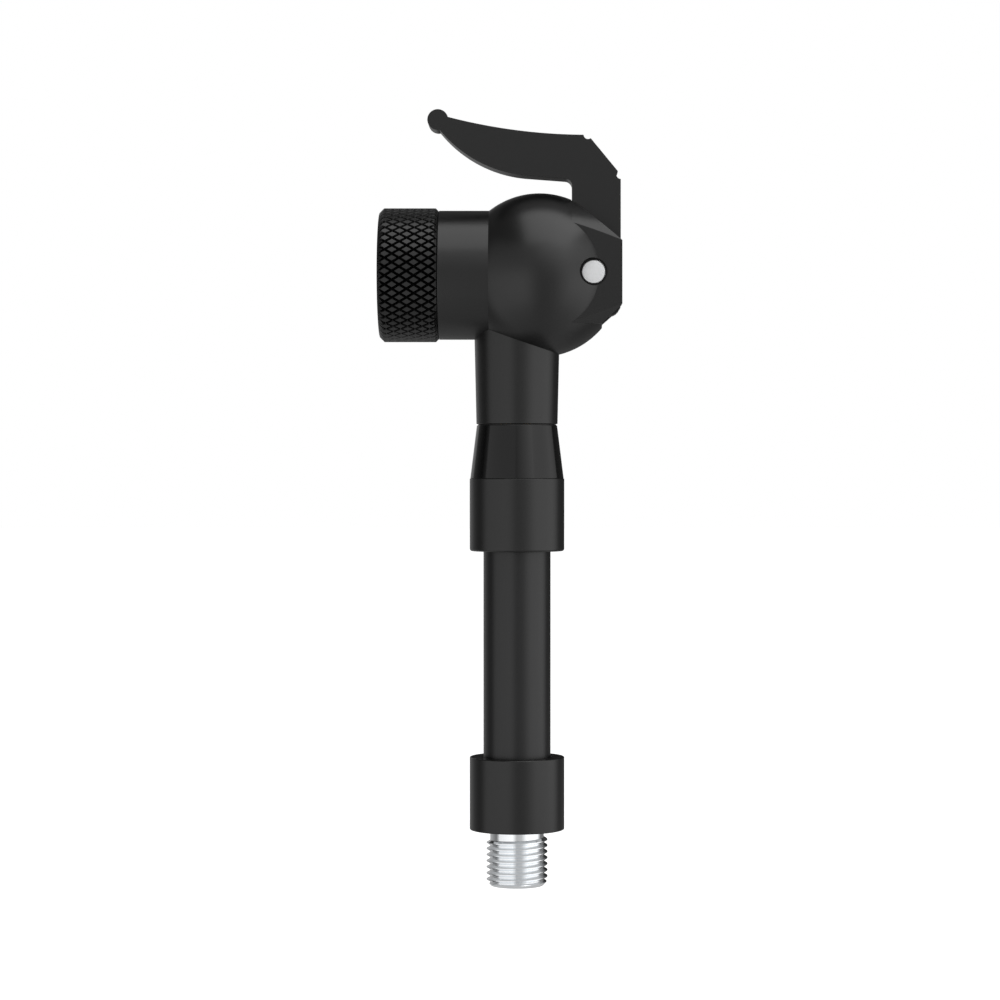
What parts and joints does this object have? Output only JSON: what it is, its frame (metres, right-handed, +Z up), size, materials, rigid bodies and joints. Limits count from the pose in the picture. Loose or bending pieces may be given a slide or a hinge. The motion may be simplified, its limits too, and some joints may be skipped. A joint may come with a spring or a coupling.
{
  "type": "lever-lock inflator chuck on a short hose",
  "caption": "Ball-shaped tyre valve chuck with a thumb lever and a knurled screw cap, swivelling on a short crimped hose that ends in a male thread for a portable inflator.",
  "frame": {"origin": "on the hose's axis, in the plane of the lower ferrule's seat face above the male thread", "axes": "+Z runs up the hose from the seat face to the head, so the thread points along -Z; the head's axis is parallel to X, and the valve mouth opens towards -X; +Y is the lever pin's direction"},
  "size_m": [0.0395, 0.0268, 0.1269],
  "materials": {
    "plated_stub": "bright nickel plating over turned metal",
    "black_ferrule": "satin black anodised, turned",
    "hose_rubber": "smooth matt black rubber",
    "brass": "plain turned brass",
    "gloss_collar": "polished black moulding",
    "o_ring_rubber": "matt black rubber",
    "spring_wire": "bright spring steel",
    "washer_plastic": "matt black plastic",
    "black_housing": "satin black anodised over a fine bead-blasted surface",
    "steel_pin": "ground steel with fine turned ends",
    "black_lever": "satin black anodised plate",
    "washer_steel": "plain steel",
    "seal_rubber": "matt black rubber",
    "knurled_black": "diamond knurled, black anodised"
  },
  "bodies": {
    "hose_end": {"threaded_fitting": "plated_stub", "lower_ferrule": "black_ferrule", "hose": "hose_rubber"},
    "hose_top": {"upper_ferrule": "black_ferrule", "swivel_stem": "brass", "tapered_collar": "gloss_collar", "swivel_o_ring_lower": "o_ring_rubber", "swivel_o_ring_upper": "o_ring_rubber", "swivel_lock_ring": "spring_wire", "swivel_washer": "washer_plastic"},
    "head": {"head_housing": "black_housing", "lever_pin": "steel_pin"},
    "lever": {"lever": "black_lever"},
    "piston": {"piston": "brass", "piston_o_ring_front": "o_ring_rubber", "piston_o_ring_rear": "o_ring_rubber", "core_depressor": "brass", "thrust_washer": "washer_steel"},
    "seal_carrier": {"valve_seal": "seal_rubber"},
    "cap": {"knurled_cap": "knurled_black"}
  },
  "joints": [
    {"name": "hose_bend", "type": "hinge", "parent": "hose_end", "child": "hose_top", "pos_m": [0, 0, 0.02875], "axis": [0, 1, 0], "range_deg": [-30, 30], "stiffness_Nm_per_rad": 0.5, "deforming": ["hose"]},
    {"name": "head_swivel", "type": "hinge", "parent": "hose_top", "child": "head", "pos_m": [0, 0, 0.0908], "axis": [0, 0, 1], "continuous": true},
    {"name": "lever_hinge", "type": "hinge", "parent": "head", "child": "lever", "pos_m": [0.0124, 0, 0.0908], "axis": [0, 1, 0], "range_deg": [0, 90]},
    {"name": "piston_slide", "type": "slide", "parent": "head", "child": "piston", "axis": [-1, 0, 0], "range_m": [0, 0.0028], "deforming": ["valve_seal"]},
    {"name": "cap_travel", "type": "slide", "parent": "head", "child": "seal_carrier", "axis": [-1, 0, 0], "range_m": [0, 0.005]},
    {"name": "cap_turn", "type": "hinge", "parent": "seal_carrier", "child": "cap", "pos_m": [-0.0177, 0, 0.0908], "axis": [-1, 0, 0], "range_deg": [0, 1800]}
  ],
  "couplings": [
    {"joint": "piston_slide", "follows": "lever_hinge", "m_per_rad": 0.0017825},
    {"joint": "cap_travel", "follows": "cap_turn", "m_per_rad": 0.00015915}
  ]
}
